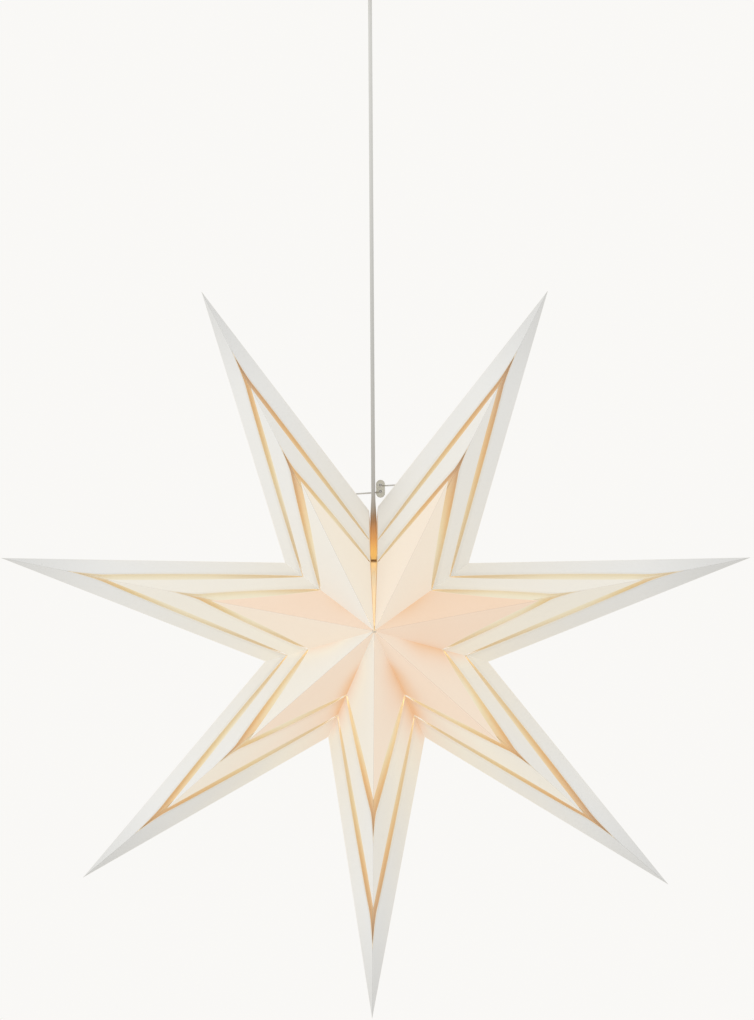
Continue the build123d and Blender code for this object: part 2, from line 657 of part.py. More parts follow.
# Heights down the hanger, from the eye that hangs on the hook
eye_z = -HOOK_DROP + HOOK_WIRE_RADIUS + EYE_CLEARANCE - EYE_BORE_RADIUS
hanger_top = eye_z - EYE_BORE_RADIUS - EYE_BAR / 2
hanger_foot = hanger_top - HANGER_HEIGHT
cord_head = hanger_top - SHEATH_END
wire_z = cord_head + WIRE_RISE
clamp_z = hanger_foot + CLAMP_SCREW_RISE
core_places = [(0, -CORE_SPACING / 2), (0, CORE_SPACING / 2)]

# Hanger eye: a ring on a block that holds the cord's end
with BuildPart() as hanger_eye:
    with BuildSketch(Plane.XY.offset(hanger_foot)):
        RectangleRounded(HANGER_WIDTH, HANGER_DEPTH, HANGER_CORNER)
    extrude(amount=HANGER_HEIGHT)
    with BuildSketch(Plane.YZ):
        with Locations((0, eye_z)):
            Circle(EYE_BORE_RADIUS + EYE_BAR)
    extrude(amount=EYE_BAR / 2, both=True)
    with BuildSketch(Plane.YZ):
        with Locations((0, eye_z)):
            Circle(EYE_BORE_RADIUS)
    extrude(amount=HANGER_WIDTH, both=True, mode=Mode.SUBTRACT)
    with BuildSketch(Plane.XY.offset(hanger_foot)):
        SlotOverall(CORD_WIDTH + 2 * CORD_FIT, CORD_THICKNESS + 2 * CORD_FIT, rotation=90)
    extrude(amount=wire_z + WIRE_HOLE_RADIUS - hanger_foot, mode=Mode.SUBTRACT)
    with BuildSketch(Plane.YZ):
        with Locations((0, wire_z)):
            with Locations((-CORE_SPACING / 2, 0), (CORE_SPACING / 2, 0)):
                Circle(WIRE_HOLE_RADIUS)
    extrude(amount=HANGER_WIDTH / 2, mode=Mode.SUBTRACT)
    with BuildSketch(Plane.YZ):
        with Locations((0, clamp_z)):
            Circle(CLAMP_SCREW_RADIUS + SCREW_FIT)
    extrude(amount=-HANGER_WIDTH / 2, mode=Mode.SUBTRACT)
hanger_eye.part.label = "hanger_eye"
export_step(hanger_eye.part, "parts/hanger_eye.step")

# Clamp screw, against the cord's flat side
with BuildPart() as cord_clamp_screw:
    with BuildSketch(Plane.YZ.offset(-HANGER_WIDTH / 2)):
        with Locations((0, clamp_z)):
            Circle(CLAMP_SCREW_RADIUS)
    extrude(amount=(HANGER_WIDTH - CORD_THICKNESS) / 2 - SCREW_FIT)
cord_clamp_screw.part.label = "cord_clamp_screw"
export_step(cord_clamp_screw.part, "parts/cord_clamp_screw.step")

# Cord, straight from the hanger to the lamp holder
with BuildPart() as supply_cord:
    with BuildSketch(Plane.XY.offset(cord_foot)):
        SlotOverall(CORD_WIDTH, CORD_THICKNESS, rotation=90)
    extrude(amount=cord_head - cord_foot)
supply_cord.part.label = "supply_cord"
export_step(supply_cord.part, "parts/supply_cord.step")

# Wires from the cord's end into the terminal block
wire_end = HANGER_WIDTH / 2 + WIRE_ENTRY
with BuildPart() as hanger_wires:
    for x, y in core_places:
        add(wire((x, y, cord_head), (x, y, wire_z), (wire_end, y, wire_z)))
hanger_wires.part.label = "hanger_wires"
export_step(hanger_wires.part, "parts/hanger_wires.step")

# Terminal block: a wire hole and a mains hole for each core, with a screw over each hole
block_near = HANGER_WIDTH / 2
block_far = block_near + BLOCK_LENGTH
screw_tip = CORE_SPACING / 2 + WIRE_RADIUS + SCREW_FIT
screw_length = BLOCK_DEPTH / 2 - screw_tip
screw_rows = [block_near + BLOCK_SCREW_INSET, block_far - BLOCK_SCREW_INSET]
block_screws = [place for x in screw_rows for place in sideways(x, screw_tip + screw_length / 2, wire_z)]
with BuildPart() as terminal_block:
    with BuildSketch(Plane.YZ.offset(block_near)):
        with Locations((0, wire_z)):
            RectangleRounded(BLOCK_DEPTH, BLOCK_HEIGHT, HANGER_CORNER)
    extrude(amount=BLOCK_LENGTH)
    with BuildSketch(Plane.YZ.offset(block_near)):
        with Locations((-CORE_SPACING / 2, wire_z), (CORE_SPACING / 2, wire_z)):
            Circle(WIRE_HOLE_RADIUS)
    extrude(amount=WIRE_ENTRY, mode=Mode.SUBTRACT)
    with BuildSketch(Plane.YZ.offset(block_far)):
        with Locations((-CORE_SPACING / 2, wire_z), (CORE_SPACING / 2, wire_z)):
            Circle(WIRE_HOLE_RADIUS)
    extrude(amount=-MAINS_HOLE_DEPTH, mode=Mode.SUBTRACT)
    with Locations(*block_screws):
        Cylinder(BLOCK_SCREW_RADIUS + SCREW_FIT, screw_length, mode=Mode.SUBTRACT)
terminal_block.part.label = "terminal_block"
export_step(terminal_block.part, "parts/terminal_block.step")

with BuildPart() as terminal_block_screws:
    with Locations(*block_screws):
        Cylinder(BLOCK_SCREW_RADIUS, screw_length)
terminal_block_screws.part.label = "terminal_block_screws"
export_step(terminal_block_screws.part, "parts/terminal_block_screws.step")

# Ceiling cup, with a mouth for the cord and a hole for each cup screw
with BuildPart() as ceiling_cup:
    with BuildSketch(Plane.XZ) as cup_section:
        with BuildLine():
            Polyline(
                (CUP_MOUTH_RADIUS, -CUP_HEIGHT),
                (CUP_FOOT_RADIUS, -CUP_HEIGHT),
                (CUP_RADIUS, -CUP_CEILING_GAP),
                (CUP_RADIUS - CUP_WALL, -CUP_CEILING_GAP),
                (CUP_FOOT_RADIUS - CUP_WALL, -CUP_HEIGHT + CUP_WALL),
                (CUP_MOUTH_RADIUS, -CUP_HEIGHT + CUP_WALL),
                close=True,
            )
        make_face()
        outer_corner = cup_section.vertices().sort_by_distance((CUP_FOOT_RADIUS, -CUP_HEIGHT))[0]
        fillet(outer_corner, CUP_CORNER)
        inner_foot = (CUP_FOOT_RADIUS - CUP_WALL, -CUP_HEIGHT + CUP_WALL)
        inner_corner = cup_section.vertices().sort_by_distance(inner_foot)[0]
        fillet(inner_corner, CUP_CORNER - CUP_WALL)
    revolve(axis=Axis.Z)
    with Locations(*sideways(0, CUP_RADIUS, cup_screw_z)):
        Cylinder(CUP_SCREW_RADIUS + SCREW_FIT, 4 * CUP_WALL, mode=Mode.SUBTRACT)
ceiling_cup.part.label = "ceiling_cup"
export_step(ceiling_cup.part, "parts/ceiling_cup.step")

# Cup screws, through the cup into the plate's edge
cup_screw_length = CUP_RADIUS - PLATE_RADIUS + CUP_SCREW_DEPTH
with BuildPart() as cup_screws:
    with Locations(*sideways(0, CUP_RADIUS - cup_screw_length / 2, cup_screw_z)):
        Cylinder(CUP_SCREW_RADIUS, cup_screw_length)
    with Locations(*sideways(0, CUP_RADIUS + CUP_SCREW_HEAD / 2, cup_screw_z)):
        Cylinder(CUP_SCREW_HEAD_RADIUS, CUP_SCREW_HEAD)
cup_screws.part.label = "cup_screws"
export_step(cup_screws.part, "parts/cup_screws.step")
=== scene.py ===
"""A folded paper star pendant, lit from inside and hung from a ceiling fitting by its flat cord."""

from math import cos, exp, hypot, pi, radians, sin, sqrt

import bpy
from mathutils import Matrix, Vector


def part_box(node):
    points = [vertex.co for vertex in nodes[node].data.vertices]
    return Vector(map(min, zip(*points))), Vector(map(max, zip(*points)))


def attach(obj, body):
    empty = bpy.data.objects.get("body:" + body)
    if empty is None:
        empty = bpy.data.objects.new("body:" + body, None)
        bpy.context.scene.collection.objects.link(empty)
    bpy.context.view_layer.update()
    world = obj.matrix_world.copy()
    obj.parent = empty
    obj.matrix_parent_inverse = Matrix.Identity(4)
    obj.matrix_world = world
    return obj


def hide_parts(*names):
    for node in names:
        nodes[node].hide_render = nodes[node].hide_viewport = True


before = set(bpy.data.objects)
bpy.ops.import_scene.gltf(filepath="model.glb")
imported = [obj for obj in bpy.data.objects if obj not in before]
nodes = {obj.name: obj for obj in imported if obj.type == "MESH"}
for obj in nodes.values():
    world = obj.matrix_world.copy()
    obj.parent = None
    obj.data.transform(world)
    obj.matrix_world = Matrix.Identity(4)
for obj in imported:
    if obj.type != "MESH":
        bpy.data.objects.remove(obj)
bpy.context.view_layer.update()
MM = 0.001

# Studio: a pale room with even light, a soft key from the left and a floor well below the star.
# The camera stands two and a half metres in front, a little below the star's centre.
bpy.ops.object.select_all(action="DESELECT")
scene = bpy.context.scene
scene.view_settings.view_transform = "Standard"

ROOM_COLOUR = (0.95, 0.94, 0.92, 1.0)
room = bpy.data.worlds.new("pale_room")
room.use_nodes = True
room_light = room.node_tree.nodes["Background"].inputs
room_light["Color"].default_value = ROOM_COLOUR
room_light["Strength"].default_value = 1.0
scene.world = room

CAMERA_PLACE = (-0.0041, -2.5, -0.6021)
CAMERA_TURN = (92.927, 0.387, -0.139)
CAMERA_LENS = 112.8
CAMERA_SENSOR = 36.0
bpy.ops.object.camera_add(location=CAMERA_PLACE, rotation=[radians(turn) for turn in CAMERA_TURN])
camera = bpy.context.object
camera.data.sensor_width = CAMERA_SENSOR
camera.data.lens = CAMERA_LENS
scene.camera = camera

STAR_CENTRE = Vector((0.0, 0.0, -0.570))
KEY_PLACE = Vector((-2.8, -1.7, -0.7))
KEY_SIZE = 1.6
KEY_POWER = 10.0
KEY_COLOUR = (1.0, 0.99, 0.97)
bpy.ops.object.light_add(type="AREA", location=KEY_PLACE)
key = bpy.context.object
key.rotation_euler = (STAR_CENTRE - KEY_PLACE).to_track_quat("-Z", "Y").to_euler()
key.data.shape = "DISK"
key.data.size = KEY_SIZE
key.data.energy = KEY_POWER
key.data.color = KEY_COLOUR

FLOOR_HEIGHT = -1.9
FLOOR_RADIUS = 3.2
bpy.ops.mesh.primitive_circle_add(
    vertices=96,
    radius=FLOOR_RADIUS,
    fill_type="NGON",
    location=(0, 0, FLOOR_HEIGHT),
)
floor = bpy.context.object
floor.name = "floor"
bpy.ops.object.transform_apply(location=True, rotation=True, scale=True)


class Value:
    """A shader socket that takes part in sums, as a number does."""

    def __init__(self, finish, socket):
        self.finish = finish
        self.socket = socket

    def combine(self, operation, first, second):
        return self.finish.node("ShaderNodeMath", {"operation": operation}, {0: first, 1: second})

    def __add__(self, other):
        return self.combine("ADD", self, other)

    def __radd__(self, other):
        return self.combine("ADD", other, self)

    def __sub__(self, other):
        return self.combine("SUBTRACT", self, other)

    def __rsub__(self, other):
        return self.combine("SUBTRACT", other, self)

    def __mul__(self, other):
        return self.combine("MULTIPLY", self, other)

    def __rmul__(self, other):
        return self.combine("MULTIPLY", other, self)

    def __pow__(self, other):
        return self.combine("POWER", self, other)


class Finish:
    """One material, built up node by node round its principled shader."""

    def __init__(self, name, **constants):
        self.material = bpy.data.materials.new(name)
        self.material.use_nodes = True
        self.tree = self.material.node_tree
        self.shader = self.tree.nodes["Principled BSDF"]
        self.set(**constants)

    def feed(self, socket, value):
        """Links a socket to a value, or sets it to a constant."""
        if isinstance(value, Value):
            self.tree.links.new(value.socket, socket)
        else:
            socket.default_value = value

    def node(self, kind, settings=None, inputs=None, out=0):
        """A node with its settings and inputs in place. Gives one of its outputs."""
        made = self.tree.nodes.new(kind)
        for setting, value in (settings or {}).items():
            if setting == "stops":
                ramp = made.color_ramp.elements
                while len(ramp) < len(value):
                    ramp.new(0.5)
                for stop, (place, colour) in zip(ramp, value):
                    stop.position = place
                    stop.color = (*colour, 1.0)
            else:
                setattr(made, setting, value)
        for socket, value in (inputs or {}).items():
            self.feed(made.inputs[socket], value)
        return Value(self, made.outputs[out])

    def set(self, **sockets):
        """Feeds the principled shader."""
        for socket, value in sockets.items():
            self.feed(self.shader.inputs[socket.replace("_", " ")], value)

    def place(self, axis):
        """One of the piece's own coordinates, in metres."""
        where = self.node("ShaderNodeTexCoord", out=3)
        return self.node("ShaderNodeSeparateXYZ", inputs={0: where}, out="XYZ".index(axis))

    def grain(self, scale, detail=2.0, roughness=0.5):
        """Fine noise, about 0.5, over the piece."""
        where = self.node("ShaderNodeTexCoord", out=3)
        inputs = {"Vector": where, "Scale": scale, "Detail": detail, "Roughness": roughness}
        return self.node("ShaderNodeTexNoise", inputs=inputs)

    def held(self, name):
        """A number that the mesh carries at each corner."""
        return self.node("ShaderNodeAttribute", {"attribute_name": name}, out=2)

    def between(self, value, low, high, start=0.0, end=1.0):
        """Runs smoothly from start to end while value goes from low to high."""
        inputs = {"Value": value, 1: low, 2: high, 3: start, 4: end}
        return self.node("ShaderNodeMapRange", {"interpolation_type": "SMOOTHSTEP"}, inputs)

    def blend(self, factor, first, second):
        """The first colour at 0, the second at 1."""
        first, second = ((*c, 1.0) if isinstance(c, tuple) else c for c in (first, second))
        inputs = {0: factor, 6: first, 7: second}
        return self.node("ShaderNodeMix", {"data_type": "RGBA"}, inputs, out=2)

    def ramp(self, value, *stops):
        """A colour for each value, from stops of a place and its colour."""
        return self.node("ShaderNodeValToRGB", {"stops": stops}, {0: value})

    def relief(self, height, depth, strength=0.4):
        """Bumps in the surface, depth in metres."""
        inputs = {"Height": height, "Distance": depth, "Strength": strength}
        self.set(Normal=self.node("ShaderNodeBump", inputs=inputs))


FLOOR_SHADE = (0.80, 0.79, 0.77)
FLOOR_COLOUR = (0.83, 0.82, 0.80)
floor_finish = Finish("pale_floor", Roughness=0.9)
floor_grain = floor_finish.grain(6.0)
floor_finish.set(Base_Color=floor_finish.blend(floor_grain, FLOOR_SHADE, FLOOR_COLOUR))
floor.data.materials.append(floor_finish.material)

# Supply cord: a flat twin cord of grey plastic, straight under the star's weight from the ceiling
# fitting to the lamp holder. It turns a quarter above the holder, where the nipple squeezes it round.
CORD_FOOT = -519.28 * MM
CORD_HEAD = -42.3 * MM
CORE_OFFSET = 0.9 * MM
CORE_RADIUS = 1.55 * MM
TWIST_START = -462 * MM
TWIST_END = -488 * MM
NIPPLE_TOP = -509 * MM
NIPPLE_GRIP = -513.5 * MM
# Heights of the cord's painted shade, and of the lamp's light painted on it in the seam.
CORD_SHADE_TOP = -100 * MM
CORD_SHADE_FOOT = -520 * MM
SEAM_TOP = -458 * MM
SEAM_FOOT = -474 * MM
GLOW_TOP = -470 * MM
GLOW_FOOT = -510 * MM


def ease(value, low, high):
    """0 at low, 1 at high, with a smooth start and end."""
    share = min(max((value - low) / (high - low), 0.0), 1.0)
    return share * share * (3.0 - 2.0 * share)


def nurbs_route(name, places, resolution):
    """A curve through the middle of a cord, with the places as its control points."""
    line = bpy.data.curves.new(name, "CURVE")
    line.dimensions = "3D"
    line.resolution_u = resolution
    spline = line.splines.new("NURBS")
    spline.points.add(len(places) - 1)
    for point, place in zip(spline.points, places):
        point.co = (*place, 1.0)
    spline.order_u = 3
    spline.use_endpoint_u = True
    route = bpy.data.objects.new(name, line)
    scene.collection.objects.link(route)
    return route


def read_route(route):
    """The places along a curve, read from its own line."""
    line = bpy.data.meshes.new_from_object(route)
    places = [vertex.co.copy() for vertex in line.vertices]
    bpy.data.meshes.remove(line)
    return places


def select_only(piece):
    """Makes one piece the only one that operators act on."""
    bpy.ops.object.select_all(action="DESELECT")
    piece.select_set(True)
    bpy.context.view_layer.objects.active = piece


cord_middle = (CORD_FOOT + CORD_HEAD) / 2
cord_route = nurbs_route(
    "cord_route",
    [
        (0, 0, CORD_FOOT),
        (0, 0, CORD_FOOT + 30 * MM),
        (0, 0, CORD_FOOT + 60 * MM),
        (0, 0, cord_middle + 60 * MM),
        (0, 0, CORD_HEAD),
    ],
    resolution=40,
)
cord_places = read_route(cord_route)
bpy.data.objects.remove(cord_route)

bpy.ops.object.select_all(action="DESELECT")
bpy.ops.mesh.primitive_circle_add(
    vertices=28,
    radius=CORE_RADIUS,
    fill_type="NGON",
    location=(0, 0, 0),
)
cord = bpy.context.object
cord.name = "flat_cord"


def cord_turn(height):
    """The turn of the flat about the cord's line: none above the twist, a quarter below it."""
    return pi / 2 * ease(-height, -TWIST_START, -TWIST_END)


def cord_section(angle, height):
    """A place on the outline of two cores side by side, along the flat and across it."""
    reach = CORE_OFFSET * (1.0 - ease(-height, -NIPPLE_TOP, -NIPPLE_GRIP))
    side = abs(cos(angle)) * reach + sqrt(CORE_RADIUS**2 - (reach * sin(angle)) ** 2)
    return side * cos(angle), side * sin(angle)


for vertex in cord.data.vertices:
    vertex.co.z = CORD_FOOT
bpy.ops.object.mode_set(mode="EDIT")
bpy.ops.mesh.select_all(action="SELECT")
for low, high in zip(cord_places, cord_places[1:]):
    bpy.ops.mesh.extrude_region_move(TRANSFORM_OT_translate={"value": high - low})
bpy.ops.mesh.select_all(action="SELECT")
bpy.ops.mesh.normals_make_consistent(inside=False)
bpy.ops.object.mode_set(mode="OBJECT")
for vertex in cord.data.vertices:
    angle = Vector((1, 0)).angle_signed(vertex.co.xy)
    flat, thick = cord_section(angle, vertex.co.z)
    turned = pi / 2 - cord_turn(vertex.co.z)
    vertex.co.x = flat * cos(turned) - thick * sin(turned)
    vertex.co.y = flat * sin(turned) + thick * cos(turned)
select_only(cord)
bpy.ops.object.shade_smooth_by_angle(angle=radians(40))

# Painted light on the cord: painted shade makes its grey darker towards the star, and in the seam the
# lamp's light is painted in as an amber tint and a glow.
cord_finish = Finish("grey_cord_plastic", Emission_Strength=1.0)
cord_height = cord_finish.place("Z")
cord_shaded_grey = cord_finish.ramp(
    cord_finish.between(cord_height, CORD_SHADE_FOOT, CORD_SHADE_TOP),
    (0.0, (0.46, 0.45, 0.43)),
    (0.35, (0.53, 0.53, 0.51)),
    (1.0, (0.66, 0.66, 0.64)),
)
cord_lamp_tint_share = cord_finish.between(cord_height, SEAM_TOP, SEAM_FOOT)
cord_lamp_light = cord_finish.between(cord_height, GLOW_TOP, GLOW_FOOT)
cord_lamp_tint = cord_finish.ramp(
    cord_lamp_light,
    (0.0, (0.40, 0.36, 0.31)),
    (0.13, (0.36, 0.24, 0.15)),
    (0.27, (0.36, 0.20, 0.10)),
    (0.78, (0.52, 0.28, 0.11)),
)
cord_painted_glow = cord_finish.ramp(
    cord_lamp_light,
    (0.0, (0.0, 0.0, 0.0)),
    (0.27, (0.09, 0.04, 0.01)),
    (0.44, (0.22, 0.10, 0.035)),
    (0.78, (0.37, 0.20, 0.065)),
    (1.0, (0.56, 0.36, 0.10)),
)
cord_mottle = cord_finish.grain(900.0)
cord_finish.set(
    Base_Color=cord_finish.blend(cord_lamp_tint_share, cord_shaded_grey, cord_lamp_tint),
    Emission_Color=cord_painted_glow,
    Roughness=0.36 + 0.14 * cord_mottle,
)
cord_finish.relief(cord_mottle, 0.04 * MM)
cord.data.materials.append(cord_finish.material)
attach(cord, "pendant")
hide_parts("supply_cord")

# Closing strings: two thin white cotton strings, knotted inside the two top points. The left one passes
# behind the cord, and both come forward through the stopper, where each ends in a knot.
STRING_RADIUS = 0.6 * MM
STRING_BACK = 6.5 * MM
STRING_END = -4.5 * MM
STOPPER_SIDE = 5.7 * MM
STRING_HEIGHTS = {"left": -460 * MM, "right": -455 * MM}
STRING_SLOPES = {"left": -2.0 * MM, "right": 1.2 * MM}
STRING_BEND = 4 * MM
STRING_MIDDLE = 0.55
KNOT_INSET = 1.5 * MM
KNOT_RADIUS = 0.85 * MM
KNOT_STRING_RADIUS = 0.55 * MM
KNOT_TURNS = (0.5, -0.6)

string_finish = Finish("cotton_string", Roughness=0.85, Sheen_Weight=0.3)
twist = string_finish.node(
    "ShaderNodeTexWave",
    {"bands_direction": "DIAGONAL"},
    {"Vector": string_finish.node("ShaderNodeTexCoord", out=3), "Scale": 900.0, "Distortion": 0.6},
    out=1,
)
string_finish.set(Base_Color=string_finish.blend(twist, (0.50, 0.48, 0.45), (0.78, 0.77, 0.74)))
string_finish.relief(twist, 0.12 * MM, 0.6)


def tie_knot(name, place, across):
    """A small overhand knot: two crossed loops of string drawn tight."""
    loops = []
    for turn in KNOT_TURNS:
        bpy.ops.object.select_all(action="DESELECT")
        tilt = (pi / 2, turn, 0) if across == "Y" else (0, pi / 2 + turn, 0)
        bpy.ops.mesh.primitive_torus_add(
            major_segments=24,
            minor_segments=10,
            major_radius=KNOT_RADIUS,
            minor_radius=KNOT_STRING_RADIUS,
            location=place,
            rotation=tilt,
        )
        bpy.ops.object.transform_apply(location=True, rotation=True, scale=True)
        loops.append(bpy.context.object)
    for loop in loops:
        loop.select_set(True)
    bpy.context.view_layer.objects.active = loops[0]
    bpy.ops.object.join()
    bpy.ops.object.shade_smooth()
    knot = bpy.context.object
    knot.name = name
    knot.data.materials.append(string_finish.material)
    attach(knot, "pendant")
    return knot


for side, height in STRING_HEIGHTS.items():
    low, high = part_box(f"closing_string_{side}")
    knot_x = low.x + KNOT_INSET if side == "left" else high.x - KNOT_INSET
    start = Vector((knot_x, STRING_BACK, height + STRING_SLOPES[side]))
    corner = Vector((STOPPER_SIDE, STRING_BACK, height))
    end = Vector((STOPPER_SIDE, STRING_END, height))
    string = nurbs_route(
        f"string_{side}",
        [
            start,
            start.lerp(corner, STRING_MIDDLE),
            corner,
            Vector((STOPPER_SIDE, STRING_BACK - STRING_BEND, height)),
            end,
        ],
        resolution=16,
    )
    string.data.bevel_depth = STRING_RADIUS
    string.data.bevel_resolution = 4
    string.data.use_fill_caps = True
    string.data.materials.append(string_finish.material)
    inner = tie_knot(f"string_{side}_inner_knot", start, "X")
    outer = tie_knot(f"string_{side}_end_knot", end, "Y")
    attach(string, "pendant")
    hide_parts(f"closing_string_{side}")
    abs(STOPPER_SIDE - knot_x) + STRING_BACK - STRING_END - 1.2 * MM

# Ceiling fitting: a painted steel plate, a turned steel hook, the plastic eye that grips the cord, a
# terminal block on short copper wires, and the white cup that two small screws hold to the plate.


def finish_nodes(finish, *names):
    """Gives bare solids their finish."""
    for name in names:
        nodes[name].data.materials.clear()
        nodes[name].data.materials.append(finish.material)


def sparked(name, roughness):
    """Plastic from a mould with a fine even spark texture, as yet without its colour."""
    finish = Finish(name, IOR=1.49)
    spark = finish.grain(2200.0, 1.0)
    finish.set(Roughness=roughness + 0.10 * spark)
    finish.relief(spark, 0.02 * MM, 0.35)
    return finish


def moulded(name, colour, shade, roughness=0.36):
    """Moulded plastic in one colour, with a faint change of tone."""
    finish = sparked(name, roughness)
    cloud = finish.grain(26.0, 3.0)
    finish.set(Base_Color=finish.blend(cloud, shade, colour))
    return finish


def metal(name, colour, shade, roughness=0.26):
    """Drawn or turned metal, with fine marks from the die and a little tarnish."""
    finish = Finish(name, Metallic=1.0)
    marks = finish.grain(1500.0, 2.0)
    tarnish = finish.between(finish.grain(180.0, 4.0), 0.45, 0.75)
    finish.set(
        Base_Color=finish.blend(tarnish, colour, shade),
        Roughness=roughness + 0.16 * marks,
    )
    finish.relief(marks, 0.02 * MM, 0.3)
    return finish


white_plastic = moulded("white_moulded_plastic", (0.82, 0.81, 0.78), (0.78, 0.77, 0.74))
finish_nodes(white_plastic, "ceiling_cup", "hanger_eye", "terminal_block")

paint = moulded("painted_plate", (0.76, 0.76, 0.74), (0.70, 0.70, 0.68), 0.48)
finish_nodes(paint, "ceiling_plate")

steel = metal("zinc_plated_steel", (0.66, 0.67, 0.68), (0.46, 0.46, 0.45))
finish_nodes(steel, "ceiling_hook", "cord_clamp_screw", "terminal_block_screws", "cup_screws")

copper = metal("copper_wire", (0.78, 0.40, 0.22), (0.50, 0.24, 0.13), 0.30)
finish_nodes(copper, "hanger_wires", "holder_wires")

# Lamp holder: a two-part white plastic shell whose cone carries the paper, with a nipple that grips
# the cord, a ceramic insert, brass contacts and steel terminal screws.
# Painted light on the holder: its top is painted dark as shade above the lamp, and the lamp's light lower
# down is painted in as a glow.
RIM_TOP = -514.5 * MM
RIM_FOOT = -516.5 * MM
STRIP_TOP = -516 * MM
STRIP_FOOT = -530 * MM
holder_plastic = sparked("lamp_lit_white_plastic", 0.36)
holder_height = holder_plastic.place("Z")
holder_top_shade = holder_plastic.between(holder_height, RIM_TOP, RIM_FOOT)
holder_low_glow = holder_plastic.between(holder_height, STRIP_TOP, STRIP_FOOT)
holder_painted_glow = holder_plastic.blend(holder_low_glow, (0.44, 0.30, 0.09), (0.10, 0.23, 0.22))
holder_plastic.set(
    Base_Color=holder_plastic.blend(holder_top_shade, (0.30, 0.17, 0.06), (0.80, 0.66, 0.56)),
    Emission_Color=holder_plastic.blend(holder_top_shade, (0.02, 0.01, 0.0), holder_painted_glow),
    Emission_Strength=1.0,
)
finish_nodes(holder_plastic, "holder_cap", "holder_skirt")
# The nipple's white plastic is painted dark brown as the shade it sits in above the lamp.
nipple_painted_shade = moulded("nipple_painted_shade_plastic", (0.24, 0.13, 0.05), (0.18, 0.10, 0.04))
finish_nodes(nipple_painted_shade, "cord_nipple")

ceramic = moulded("white_ceramic", (0.80, 0.79, 0.75), (0.70, 0.68, 0.63), 0.22)
finish_nodes(ceramic, "holder_insert")

brass = metal("brass", (0.80, 0.60, 0.28), (0.52, 0.36, 0.15))
finish_nodes(brass, "screw_contact", "centre_contact", "lamp_tip_contact")
finish_nodes(steel, "holder_terminal_screws")

# LED lamp: an opal globe over a ring of warm white chips, a plastic collar with its driver board, and
# a plated screw shell with a black insulator. It screws into the holder and glows warm.
GLOBE_FOOT = -626 * MM
GLOBE_TOP = -578 * MM
globe = Finish("opal_globe", Roughness=0.28, Emission_Strength=1.0)
frost = globe.grain(700.0, 1.0)
globe_top = globe.between(globe.place("Z"), GLOBE_FOOT, GLOBE_TOP)
globe.set(
    Base_Color=globe.blend(frost, (0.90, 0.86, 0.78), (0.94, 0.90, 0.83)),
    Emission_Color=globe.ramp(globe_top, (0.0, (0.95, 0.72, 0.42)), (1.0, (1.30, 1.02, 0.66))),
)
globe.relief(frost, 0.02 * MM, 0.2)
finish_nodes(globe, "lamp_globe")

shell = metal("nickel_plated_shell", (0.70, 0.68, 0.62), (0.48, 0.45, 0.38), 0.22)
finish_nodes(shell, "lamp_screw_shell")
for node, name, colour, shade, roughness in (
    ("lamp_collar", "lamp_collar_plastic", (0.82, 0.77, 0.68), (0.76, 0.70, 0.60), 0.36),
    ("lamp_insulator", "black_insulator", (0.03, 0.03, 0.03), (0.05, 0.05, 0.05), 0.3),
    ("led_board", "led_board_mask", (0.80, 0.80, 0.77), (0.70, 0.71, 0.68), 0.3),
    ("lamp_driver_board", "driver_board_resin", (0.06, 0.20, 0.10), (0.04, 0.14, 0.07), 0.34),
):
    finish_nodes(moulded(name, colour, shade, roughness), node)

chips = Finish("warm_white_chips", Roughness=0.4, Emission_Strength=2.0)
phosphor = chips.grain(1600.0)
chips.set(
    Base_Color=chips.blend(phosphor, (0.86, 0.66, 0.16), (0.92, 0.76, 0.28)),
    Emission_Color=chips.blend(phosphor, (1.0, 0.74, 0.40), (1.0, 0.82, 0.52)),
)
finish_nodes(chips, "led_chips")

# Paper points: seven die-cut sheets of white paper, each folded to a hollow spike with glue tabs along
# its valleys. Two V cuts a side leave an inner panel, a middle strip and an outer strip, whose edges
# spring out of the face like louvres, so that the lit lining shows between them.
POINT_REACH = 300 * MM
NOTCH_RADIUS = 90 * MM
HUB_DEPTH = 75 * MM
PAPER = 0.4 * MM
FOLD_GAP = 0.03 * MM
TAB_WIDTH = 16 * MM
TAB_INSET = 0.12 * MM
TAB_START = 0.06
CENTRE_HOLE = 0.004
TIP_ANGLES = (27.45, 79.45, 130.95, 180.5, 230.05, 281.55, 333.55)
NOTCH_ANGLES = (2.2, 53.45, 105.2, 155.725, 205.275, 255.8, 307.55, 357.8)

# Where this star isn't even: its tips, its notches and its open seam.
TIP_SHIFTS = {
    27.45: Vector((0.0, 0.0, 1.2 * MM)),
    79.45: Vector((0.0, 0.0, 1.6 * MM)),
    130.95: Vector((1.2 * MM, 0.0, -1.2 * MM)),
    180.5: Vector((-1.0 * MM, 0.0, 0.0)),
    230.05: Vector((2.0 * MM, 0.0, 3.4 * MM)),
    281.55: Vector((2.4 * MM, 0.0, 0.0)),
    333.55: Vector((-0.4 * MM, 0.0, 0.0)),
}
NOTCH_SHIFT = Vector((2.0 * MM, 0.0, 0.0))
SEAM_RISES = {2.2: 8.2 * MM, 357.8: 5.4 * MM}
SEAM_RISE_START = 0.8
SEAM_BULGE = 1.3 * MM
SEAM_PINCH = 2.8 * MM

